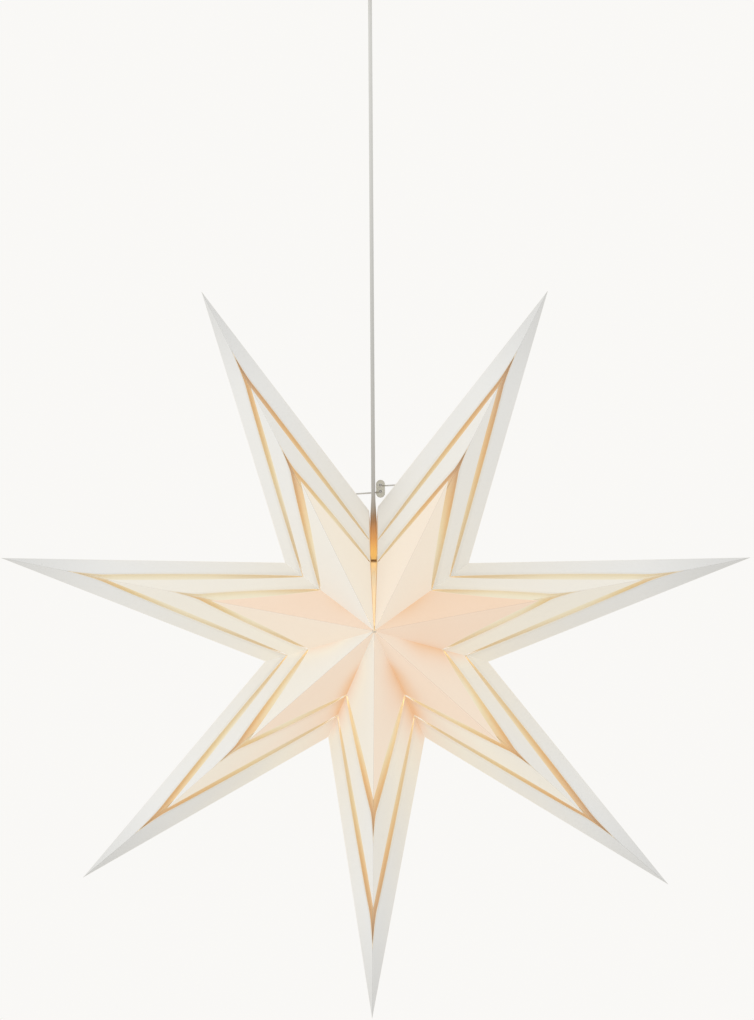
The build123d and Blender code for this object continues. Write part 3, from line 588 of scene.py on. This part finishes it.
# The edges of the cuts, each by its reach along the ridge and along the valley in millimetres, with
# their bow, their rise out of the face and the lean of each point's panel and middle strip.
INNER_EDGES = (129.0, 53.5)
MIDDLE_EDGES = ((146.0, 54.5), (213.0, 71.0))
OUTER_EDGES = ((229.0, 72.0), (300.0, 90.0))
SLIT = 17.0
SLIT_SHARE = 0.09
CUT_BOW = 5.2 * MM
INNER_RISE = 0.2 * MM
OUTER_RISE = 0.3 * MM
RISE_CURVE = 2.2
RIDGE_SHARE = 0.12
PANEL_SHIFTS = (-1.9, 1.2, 1.9, 0.0, -1.9, -1.2, 1.9)
STRIP_SHIFTS = (-0.3, 0.8, 1.2, -0.4, -1.2, -0.8, 0.3)
NO_CUT = 99.0
CELLS_ALONG = 28
PANEL_CELLS = 14
STRIP_CELLS = 8
TAB_CELLS = (12, 2)
CELL_SPACING = 1.5

# The lamp's light on the paper, painted into its colour and glow. Each point has two legs, and each leg
# has the painted light of its panel and of its middle strip, at the valley and at the ridge, which also
# paints how the studio light falls on that face.
LAMP_CENTRE = Vector((5 * MM, 0.0, -597 * MM))
GLOW_DISTANCE = 60 * MM
SIDE_LIGHT = 0.25
TAB_GLOW = 0.05
STRIP_GLOW = 0.25
EDGE_GLOW_FADE = 25 * MM
VALLEY_GLOW = 10 * MM
VALLEY_PAINTED_GLOW = 0.42
VALLEY_LIGHT = (0.45, 0.90)
VALLEY_START = (12 * MM, 50 * MM)
BAND_GLOW = 4 * MM
BAND_PAINTED_GLOW = 0.20
OUTER_STRIP_PAINTED_GLOW = 0.80
LEG_PAINTED_LIGHT = (
    ((0.48, 0.16, 0.10), (0.46, 0.20, 0.09)),
    ((0.74, 0.24, 0.22), (0.66, 0.38, 0.28)),
    ((0.56, 0.34, 0.11), (0.62, 0.66, 0.26)),
    ((0.54, 0.62, 0.16), (0.24, 0.40, 0.05)),
    ((0.60, 0.70, 0.40), (0.20, 0.20, 0.04)),
    ((0.50, 0.34, 0.24), (0.68, 0.24, 0.24)),
    ((0.16, 0.12, 0.03), (0.40, 0.24, 0.08)),
)
HUB_SHADE_DOT_EDGE = (2.2 * MM, 0.8 * MM)
TIP_SHADE_REACH = (200 * MM, 300 * MM)


def on_star(angle, radius, depth=0.0):
    """A place at an angle clockwise from straight up, depth behind the star's middle plane."""
    return STAR_CENTRE + Vector((radius * sin(radians(angle)), depth, radius * cos(radians(angle))))


class Face:
    """One of a point's four sloping faces, between its ridge and one of its valleys."""

    def __init__(self, tip_angle, notch_angle, side):
        self.side = side
        self.on_seam = notch_angle in SEAM_RISES
        self.seam_rise = Vector((0.0, 0.0, SEAM_RISES.get(notch_angle, 0.0)))
        self.seam_way = Vector((1.0 if notch_angle < 180 else -1.0, 0.0, 0.0))
        self.apex = on_star(0, 0, side * HUB_DEPTH)
        self.tip = on_star(tip_angle, POINT_REACH) + TIP_SHIFTS[tip_angle]
        self.notch = on_star(notch_angle, NOTCH_RADIUS)
        if not self.on_seam:
            self.notch += NOTCH_SHIFT
        normal = (self.tip - self.apex).cross(self.notch - self.apex).normalized()
        outwards = self.apex - STAR_CENTRE
        self.normal = normal if normal.dot(outwards) > 0 else -normal
        self.across = Vector((cos(radians(tip_angle)), 0.0, -sin(radians(tip_angle))))
        upright = self.across.cross(self.tip - self.apex).normalized()
        self.ridge_normal = upright if upright.dot(outwards) > 0 else -upright

    def lift_way(self, share):
        """The way out of the paper: square to the ridge on the fold, square to the face beside it."""
        return self.ridge_normal.lerp(self.normal, min(share / RIDGE_SHARE, 1.0)).normalized()

    def valley(self, share):
        """A place on the valley. The open seam is drawn up, bulges in front and is pinched behind."""
        place = self.apex.lerp(self.notch, share)
        if not self.on_seam:
            return place
        place += self.seam_rise * max(share - SEAM_RISE_START, 0.0) / (1.0 - SEAM_RISE_START)
        if self.side < 0:
            return place + self.seam_way * SEAM_BULGE * sin(pi * share**0.45)
        return place - self.seam_way * SEAM_PINCH * share * sin(pi * share)

    def line(self, edge, share, bow=0.0, slit=0.0):
        """A place on a cut from the ridge to the valley, its ends given as reaches in millimetres."""
        reach = edge[0] + slit * (1.0 - min(share / SLIT_SHARE, 1.0)) ** 2
        ridge = self.apex.lerp(self.tip, reach * MM / POINT_REACH)
        valley = self.valley(edge[1] * MM / NOTCH_RADIUS)
        outwards = self.normal.cross(valley - ridge).normalized()
        if outwards.dot(self.tip - self.apex) < 0:
            outwards = -outwards
        return ridge.lerp(valley, share) + outwards * bow * share**0.8 * (1.0 - share) ** 0.7

    def glow(self, place):
        """The lamp's light on the paper, 1 straight above it at the glow distance."""
        away = place - LAMP_CENTRE
        square_on = max(away.normalized().dot(self.normal), 0.0)
        facing = SIDE_LIGHT + (1.0 - SIDE_LIGHT) * square_on
        return facing * (GLOW_DISTANCE / away.length) ** 2


def springing(share):
    """How far an edge springs out: fully along the cut, not at all at the valley that holds it."""
    return 1.0 - share**5


def hold(sheet, name, numbers):
    """Gives each face corner of a sheet a number that its finish reads."""
    held = sheet.data.attributes.new(name, "FLOAT", "CORNER")
    held.data.foreach_set("value", [numbers[loop.vertex_index] for loop in sheet.data.loops])


def cell_grid(along, across):
    """A flat sheet of cells, one unit long and one wide, about the origin."""
    bpy.ops.object.select_all(action="DESELECT")
    bpy.ops.mesh.primitive_grid_add(
        x_subdivisions=along,
        y_subdivisions=across,
        size=1.0,
        location=(0, 0, 0),
    )
    return bpy.context.object


def turn_out(sheet, outwards):
    """Turns a sheet's faces to the side that is seen."""
    sheet.data.update()
    if sheet.data.polygons[0].normal.dot(outwards) < 0:
        sheet.data.flip_normals()


def paper_sheet(face, inner, outer, rises, cells, outwards, painted_light=(0.0, 0.0), shift=0.0):
    """A sheet between two cuts, bowed so that its edges leave the face. A tab's edges don't rise."""
    sheet = cell_grid(*cells)
    inner_rise, outer_rise = rises
    numbers = {name: [] for name in ("glow", "to_inner", "to_outer", "to_ridge", "warm")}
    for vertex in sheet.data.vertices:
        share = (vertex.co.x + 0.5) ** (CELL_SPACING if inner_rise else 1.0)
        step = vertex.co.y + 0.5
        near, far = inner(share), outer(share)
        place = near.lerp(far, step)
        from_near, to_far = (place - near).length, (far - place).length
        bend = outer_rise * step**RISE_CURVE + inner_rise * (1.0 - step) ** RISE_CURVE
        lift = springing(share) * bend
        sway = shift * (1.0 - share) ** 0.7 * step**1.5
        vertex.co = place + face.lift_way(share) * lift + face.across * sway

        # The lamp's glow on the paper, worked out for each corner; the finishes paint it in as colour and
        # glow.
        light = face.glow(place)
        if inner_rise:
            lit_share = STRIP_GLOW
        elif outer_rise:
            lit_share = ease(to_far, 0.0, EDGE_GLOW_FADE)
        else:
            lit_share = TAB_GLOW
        numbers["glow"].append(light * lit_share)
        numbers["to_inner"].append(from_near / MM if inner_rise else NO_CUT)
        numbers["to_outer"].append(to_far / MM)
        numbers["to_ridge"].append((place - inner(0.0).lerp(outer(0.0), step)).length / MM)

        # Painted light: a warmer tint along the leg, in the folded valleys and beside the cut bands.
        to_valley = (inner(1.0).lerp(outer(1.0), step) - place).length
        from_hub = (place - face.apex).length
        folded = exp(-to_valley / VALLEY_GLOW)
        folded *= ease(light, *VALLEY_LIGHT) * ease(from_hub, *VALLEY_START)
        beside_band = exp(-from_near / BAND_GLOW) * sin(pi * share) if inner_rise else 0.0
        along_leg = painted_light[0] + (painted_light[1] - painted_light[0]) * share**2
        numbers["warm"].append(along_leg + VALLEY_PAINTED_GLOW * folded + BAND_PAINTED_GLOW * beside_band)
    turn_out(sheet, outwards)
    for name, held in numbers.items():
        hold(sheet, name, held)
    for finish in (paper, paper_inside, cut_edge):
        sheet.data.materials.append(finish.material)
    return sheet


def joined(name, sheets):
    """The sheets as one piece, with the folds between them closed."""
    bpy.ops.object.select_all(action="DESELECT")
    for sheet in sheets:
        sheet.select_set(True)
    bpy.context.view_layer.objects.active = sheets[0]
    bpy.ops.object.join()
    piece = bpy.context.object
    piece.name = name
    bpy.ops.object.mode_set(mode="EDIT")
    bpy.ops.mesh.select_all(action="SELECT")
    bpy.ops.mesh.remove_doubles(threshold=FOLD_GAP)
    bpy.ops.object.mode_set(mode="OBJECT")
    return piece


def thicken(piece, thickness):
    """Gives a sheet its thickness, inwards from the face that is seen."""
    wall = piece.modifiers.new("thickness", "SOLIDIFY")
    wall.thickness = thickness
    wall.offset = -1.0
    wall.material_offset = 1
    wall.material_offset_rim = 2
    select_only(piece)
    bpy.ops.object.modifier_apply(modifier=wall.name)
    bpy.ops.object.shade_smooth_by_angle(angle=radians(18))


# Painted light on the outside of the paper: the lamp's light shining through is painted in as a peach to
# orange tint and glow; painted highlights run along the cut edges, and painted shade darkens the ridge
# creases, the strips tucked under the cuts, the hub's centre and the tips.
paper = Finish("white_paper", Roughness=0.78, Emission_Strength=1.0, Specular_IOR_Level=0.25)
paper_painted_light = paper.held("warm")
paper_fibre = paper.grain(420.0, 4.0, 0.6)
paper_cloud = paper.grain(38.0, 3.0)
paper_where = paper.node("ShaderNodeTexCoord", out=3)
paper_reach = paper.node(
    "ShaderNodeVectorMath", {"operation": "DISTANCE"}, {0: paper_where, 1: STAR_CENTRE}, out=1
)
paper_lit_colour = paper.ramp(
    paper_painted_light + 0.05 * (paper_cloud - 0.5) + 0.03 * (paper_fibre - 0.5),
    (0.0, (0.83, 0.835, 0.83)),
    (0.35, (0.92, 0.865, 0.75)),
    (0.65, (0.93, 0.75, 0.60)),
    (1.0, (0.91, 0.59, 0.35)),
)
# Painted shade on the strips where they tuck under the cut edge beside them.
paper_tuck_shade = paper.between(paper.held("to_inner"), 9.0, 1.0)
# Painted highlight: a cream line along the cut edges, as if the light caught them.
inner_cut_highlight = paper.between(paper.held("to_inner"), 1.1, 0.3)
cut_highlight = paper.between(paper.held("to_outer"), 1.2, 0.3) + 0.6 * inner_cut_highlight
paper_lit_colour = paper.blend(cut_highlight * 0.42, paper_lit_colour, (0.97, 0.91, 0.78))
# Painted shade along the fold of each ridge.
crease_shade = paper.between(paper.held("to_ridge"), 0.7, 0.15)
# Painted shade: a small grey dot where the faces meet at the hub.
hub_offset = (paper.place("X") ** 2.0 + (paper.place("Z") - STAR_CENTRE.z) ** 2.0) ** 0.5
hub_shade_dot = paper.between(hub_offset, *HUB_SHADE_DOT_EDGE)
paper_lit_colour = paper.blend(hub_shade_dot * 0.8, paper_lit_colour, (0.45, 0.43, 0.40))
paper_shade = paper.between(paper_reach, *TIP_SHADE_REACH, 1.0, 0.88)
paper_shade = paper_shade * (1.0 - 0.42 * crease_shade) * (1.0 - 0.09 * paper_tuck_shade)
lamp_share = paper.between(paper_painted_light, 0.02, 0.55, 0.0, 0.46) + 0.03 * cut_highlight
paper.set(
    Base_Color=paper.blend((1.0 - lamp_share) * paper_shade, (0.0, 0.0, 0.0), paper_lit_colour),
    Emission_Color=paper.blend(lamp_share, (0.0, 0.0, 0.0), paper_lit_colour),
)
paper.relief(paper_fibre, 0.06 * MM, 0.35)

# The inside faces and the glue tabs have the lamp's light painted in as a glow, stronger nearer the lamp.
paper_inside = Finish("lamp_lit_paper", Roughness=0.8, Emission_Strength=1.0, Specular_IOR_Level=0.2)
inside_glow = paper_inside.held("glow")
inside_fibre = paper_inside.grain(420.0, 4.0, 0.6)
paper_inside.set(
    Base_Color=paper_inside.blend(inside_fibre, (0.74, 0.66, 0.52), (0.82, 0.74, 0.60)),
    Emission_Color=paper_inside.ramp(
        inside_glow,
        (0.0, (0.10, 0.06, 0.03)),
        (0.15, (0.40, 0.26, 0.12)),
        (0.45, (0.80, 0.58, 0.30)),
        (1.0, (0.96, 0.74, 0.42)),
    ),
)
paper_inside.relief(inside_fibre, 0.06 * MM, 0.35)

# The paper's cut edges have a faint painted glow, more where the lamp's light is stronger.
cut_edge = Finish("cut_paper_edge", Roughness=0.85, Emission_Strength=1.0, Specular_IOR_Level=0.2)
edge_fibre = cut_edge.grain(900.0, 3.0)
edge_glow = cut_edge.between(cut_edge.held("glow"), 0.05, 0.7)
cut_edge.set(
    Base_Color=cut_edge.blend(edge_fibre, (0.76, 0.70, 0.58), (0.84, 0.78, 0.66)),
    Emission_Color=cut_edge.blend(edge_glow, (0.08, 0.06, 0.04), (0.16, 0.11, 0.06)),
)
cut_edge.relief(edge_fibre, 0.05 * MM, 0.3)

valley_length = hypot(HUB_DEPTH, NOTCH_RADIUS)
tab_depth = HUB_DEPTH - TAB_WIDTH * valley_length / NOTCH_RADIUS
tab_reach = NOTCH_RADIUS - TAB_WIDTH * valley_length / HUB_DEPTH


def glue_tab(face, notch_angle):
    """The tab along one valley, turned in against the next point's tab."""
    inner_apex = on_star(0, 0, face.side * tab_depth)
    inner_notch = on_star(notch_angle, tab_reach)
    across = Vector((cos(radians(notch_angle)), 0.0, -sin(radians(notch_angle))))
    away = -across if (face.tip - face.notch).dot(across) > 0 else across
    inset = -away * TAB_INSET
    tab = paper_sheet(
        face,
        lambda share: face.valley(TAB_START + (1.0 - TAB_START) * share) + inset * 0.3,
        lambda share: inner_apex.lerp(inner_notch, share) + inset,
        rises=(0.0, 0.0),
        cells=TAB_CELLS,
        outwards=away,
    )
    for polygon in tab.data.polygons:
        polygon.material_index = 1
    return tab


hub = (CENTRE_HOLE * INNER_EDGES[0], CENTRE_HOLE * INNER_EDGES[1])
for number, tip_angle in enumerate(TIP_ANGLES, 1):
    sheets = []
    panel_shift = PANEL_SHIFTS[number - 1] * MM
    strip_shift = STRIP_SHIFTS[number - 1] * MM
    notches = NOTCH_ANGLES[number - 1 : number + 1]
    for notch_angle, (painted_light, strip_painted_light, ridge_painted_light) in zip(notches, LEG_PAINTED_LIGHT[number - 1]):
        panel_ends = (painted_light, painted_light)
        middle_ends = (ridge_painted_light, strip_painted_light)
        outer_ends = (0.0, OUTER_STRIP_PAINTED_GLOW * strip_painted_light)
        for side in (-1, 1):
            face = Face(tip_angle, notch_angle, side)
            cuts = (
                (hub, INNER_EDGES, (0, -1), (0.0, OUTER_RISE), PANEL_CELLS, panel_ends, panel_shift),
                (*MIDDLE_EDGES, (1, -1), (INNER_RISE, OUTER_RISE), STRIP_CELLS, middle_ends, strip_shift),
                (*OUTER_EDGES, (1, 0), (INNER_RISE, 0.0), STRIP_CELLS, outer_ends, 0.0),
            )
            for inner, outer, bows, rises, across, painted_light_ends, sway in cuts:
                sheets.append(
                    paper_sheet(
                        face,
                        lambda share: face.line(inner, share, bows[0] * CUT_BOW, bows[0] * SLIT),
                        lambda share: face.line(outer, share, bows[1] * CUT_BOW),
                        rises,
                        (CELLS_ALONG, across),
                        face.normal,
                        painted_light_ends,
                        sway,
                    )
                )
            sheets.append(glue_tab(face, notch_angle))
    point = joined(f"paper_point_{number}", sheets)
    thicken(point, PAPER)
    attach(point, "pendant")
    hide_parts(f"point_{number}")

# Window linings: thin amber paper glued behind the cuts. It hangs a little slack behind each opening.
# The lamp's light on it is painted into its colour and glow: pale near the valleys, deep orange towards
# the ridge, with painted shade under the cut edges and in the slits.
LINING = 0.2 * MM
LINING_LAP = 0.7
LINING_SLACK = 3.0 * MM
LINING_HELD = 1.9 * MM
LINING_END = 0.99
LINING_CELLS = (24, 10)
SLACK_START = 0.1
WINDOWS = ((INNER_EDGES, MIDDLE_EDGES[0]), (MIDDLE_EDGES[1], OUTER_EDGES[0]))
# How deep the painted glow and shade are behind each point's two legs: the inner window and the outer
# one.
LINING_GLOW_DEPTHS = (
    ((0.50, 0.32), (0.42, 0.50)),
    ((-1.50, -1.50), (-0.90, -0.80)),
    ((0.05, 0.46), (-0.15, 0.12)),
    ((0.15, 0.42), (0.32, 0.20)),
    ((-0.60, -0.05), (0.30, -0.10)),
    ((-0.55, -0.75), (-1.50, -1.50)),
    ((0.42, -0.10), (-0.30, 0.46)),
)

amber = Finish("amber_lining", Roughness=0.7, Emission_Strength=1.0, Specular_IOR_Level=0.2)
amber_along = amber.node("ShaderNodeUVMap", {"uv_map": "UVMap"})
amber_share = amber.node("ShaderNodeSeparateXYZ", inputs={0: amber_along}, out=0)
amber_step = amber.node("ShaderNodeSeparateXYZ", inputs={0: amber_along}, out=1)
amber_fibre = amber.grain(380.0, 3.0)
amber_glow_depth = amber.held("depth")
# Painted shade under the cut edge on one side of each band.
amber_edge_shade = amber.between(amber_step, 0.35, 0.85)
amber_glow_level = amber_share * 1.15 - 0.30 * amber_edge_shade + 0.06 * amber_fibre
amber_glow_level = amber_glow_level + 0.45 * (0.6 - amber_glow_depth)
amber_painted_glow = amber.ramp(
    amber_glow_level,
    (0.0, (0.25, 0.17, 0.11)),
    (0.14, (0.32, 0.22, 0.13)),
    (0.45, (0.38, 0.27, 0.14)),
    (0.80, (0.40, 0.34, 0.20)),
    (1.0, (0.42, 0.39, 0.30)),
)
amber_painted_colour = amber.ramp(
    amber_glow_level,
    (0.0, (0.44, 0.34, 0.24)),
    (0.45, (0.46, 0.33, 0.20)),
    (1.0, (0.45, 0.43, 0.35)),
)
# Paler painted light towards the valley end; painted shade in the slits at the ridge, and on some legs
# the painted glow fades to pale towards the ridge.
amber_valley_pale = amber.between(amber_share, 0.62, 0.97)
amber_slit_shade = amber.between(amber_share, 0.10, 0.02) * amber.between(amber_glow_depth, -0.7, 0.1)
amber_ridge_fade = amber.between(amber_share, 0.30, 0.08) * amber.between(amber_glow_depth, -0.3, -0.6)
amber_painted_colour = amber.blend(0.14 * amber_fibre, amber_painted_colour, (0.66, 0.52, 0.36))
amber_painted_colour = amber.blend(amber_slit_shade * 0.8, amber_painted_colour, (0.30, 0.27, 0.22))
amber_painted_glow = amber.blend(amber_slit_shade * 0.8, amber_painted_glow, (0.12, 0.10, 0.075))
amber_painted_colour = amber.blend(amber_ridge_fade * 0.9, amber_painted_colour, (0.58, 0.55, 0.47))
amber_painted_glow = amber.blend(amber_ridge_fade * 0.9, amber_painted_glow, (0.30, 0.28, 0.22))
amber.set(
    Base_Color=amber.blend(amber_valley_pale, amber_painted_colour, (0.58, 0.53, 0.42)),
    Emission_Color=amber.blend(amber_valley_pale, amber_painted_glow, (0.25, 0.21, 0.14)),
)
amber.relief(amber_fibre, 0.05 * MM, 0.3)


def lining_strip(face, window, glow_depth):
    """The lining behind one leg of a V window."""
    strip = cell_grid(*LINING_CELLS)
    inner, outer = window
    for vertex in strip.data.vertices:
        share = (vertex.co.x + 0.5) ** CELL_SPACING
        step = vertex.co.y + 0.5
        along = LINING_END * share
        near = face.line(inner, along, -CUT_BOW)
        far = face.line(outer, along, CUT_BOW, SLIT)
        wide = step * (1.0 + 2.0 * LINING_LAP) - LINING_LAP
        slack = ease(wide, -LINING_LAP, SLACK_START)
        slack *= ease(-wide, -1.0 - LINING_LAP, SLACK_START - 1.0)
        behind = LINING_HELD + (LINING_SLACK - LINING_HELD) * slack
        vertex.co = near + (far - near) * wide - face.lift_way(share) * behind
    turn_out(strip, face.normal)
    hold(strip, "depth", [glow_depth] * len(strip.data.vertices))
    return strip


for number, (tip_angle, depths) in enumerate(zip(TIP_ANGLES, LINING_GLOW_DEPTHS), 1):
    strips = []
    for notch_angle, leg_depths in zip(NOTCH_ANGLES[number - 1 : number + 1], depths):
        for side in (-1, 1):
            face = Face(tip_angle, notch_angle, side)
            strips += [lining_strip(face, window, depth) for window, depth in zip(WINDOWS, leg_depths)]
    lining = joined(f"amber_lining_{number}", strips)
    lining.data.materials.append(amber.material)
    thicken(lining, LINING)
    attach(lining, "pendant")
    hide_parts(f"window_lining_{number}")

# String stopper: a small flat bead of clear grey plastic with two holes. It slides on the strings and
# draws the two top points together.
clear = Finish("clear_grey_plastic", Roughness=0.16, IOR=1.46, Transmission_Weight=0.75)
haze = clear.grain(300.0)
clear.set(Base_Color=clear.blend(haze, (0.56, 0.54, 0.46), (0.66, 0.63, 0.54)))
finish_nodes(clear, "string_stopper")
